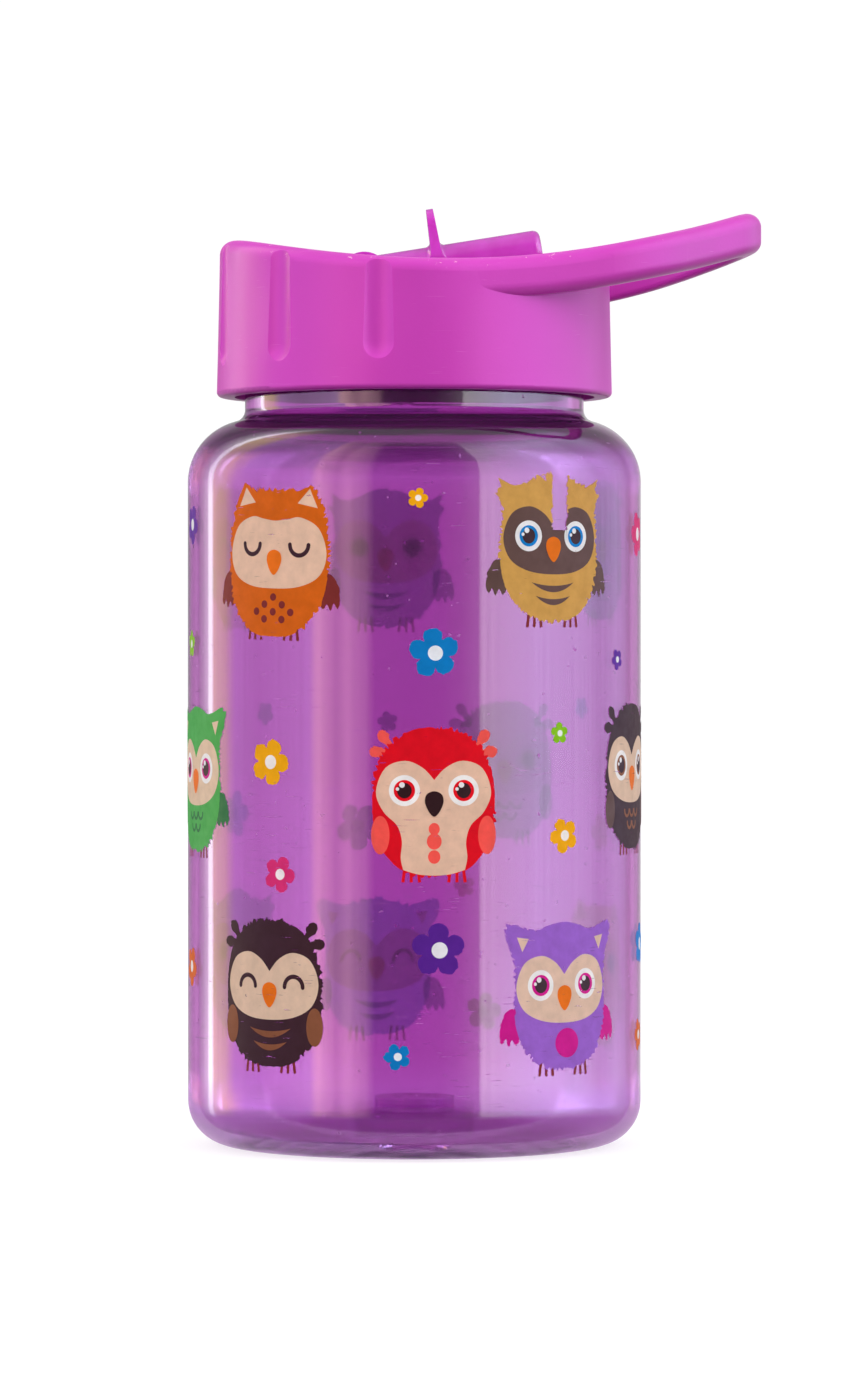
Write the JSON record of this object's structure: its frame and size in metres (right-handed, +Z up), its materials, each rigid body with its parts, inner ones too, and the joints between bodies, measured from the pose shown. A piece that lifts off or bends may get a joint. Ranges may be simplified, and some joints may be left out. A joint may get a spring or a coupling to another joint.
{
  "type": "kids water bottle",
  "caption": "Small round plastic water bottle with a screw lid, a pointed carry loop at one side and a flip-up drinking spout with a thumb tab.",
  "frame": {"origin": "centre of the bottle's foot ring, on the plane that it stands on", "axes": "+Z up along the bottle's axis, +X from the axis towards the carry loop's tip, +Y completes a right-handed frame"},
  "size_m": [0.0924, 0.073, 0.1505],
  "materials": {
    "bottle": "clear violet copolyester, glossy, with fine scuffs",
    "lid": "opaque magenta polypropylene, satin, with small nicks",
    "spout": "dark violet translucent plastic, glossy",
    "silicone": "milky silicone, matt",
    "steel": "ground stainless steel"
  },
  "bodies": {
    "bottle": {"bottle_body": "bottle"},
    "gasket": {"lid_gasket": "silicone"},
    "lid": {"lid_shell": "lid", "spout_seal": "silicone", "vent_valve": "silicone", "hinge_pins": "steel"},
    "spout": {"flip_spout": "spout"}
  },
  "joints": [
    {"name": "lid_rise", "type": "slide", "parent": "bottle", "child": "gasket", "axis": [0, 0, 1], "range_m": [0, 0.01651]},
    {"name": "lid_turn", "type": "hinge", "parent": "gasket", "child": "lid", "pos_m": [0, 0, 0.13], "axis": [0, 0, 1], "range_deg": [0, 1080]},
    {"name": "spout_flip", "type": "hinge", "parent": "lid", "child": "spout", "pos_m": [-0.008, 0, 0.139], "axis": [0, -1, 0], "range_deg": [0, 81]}
  ],
  "couplings": [
    {"joint": "lid_rise", "follows": "lid_turn", "m_per_rad": 0.00087535}
  ]
}
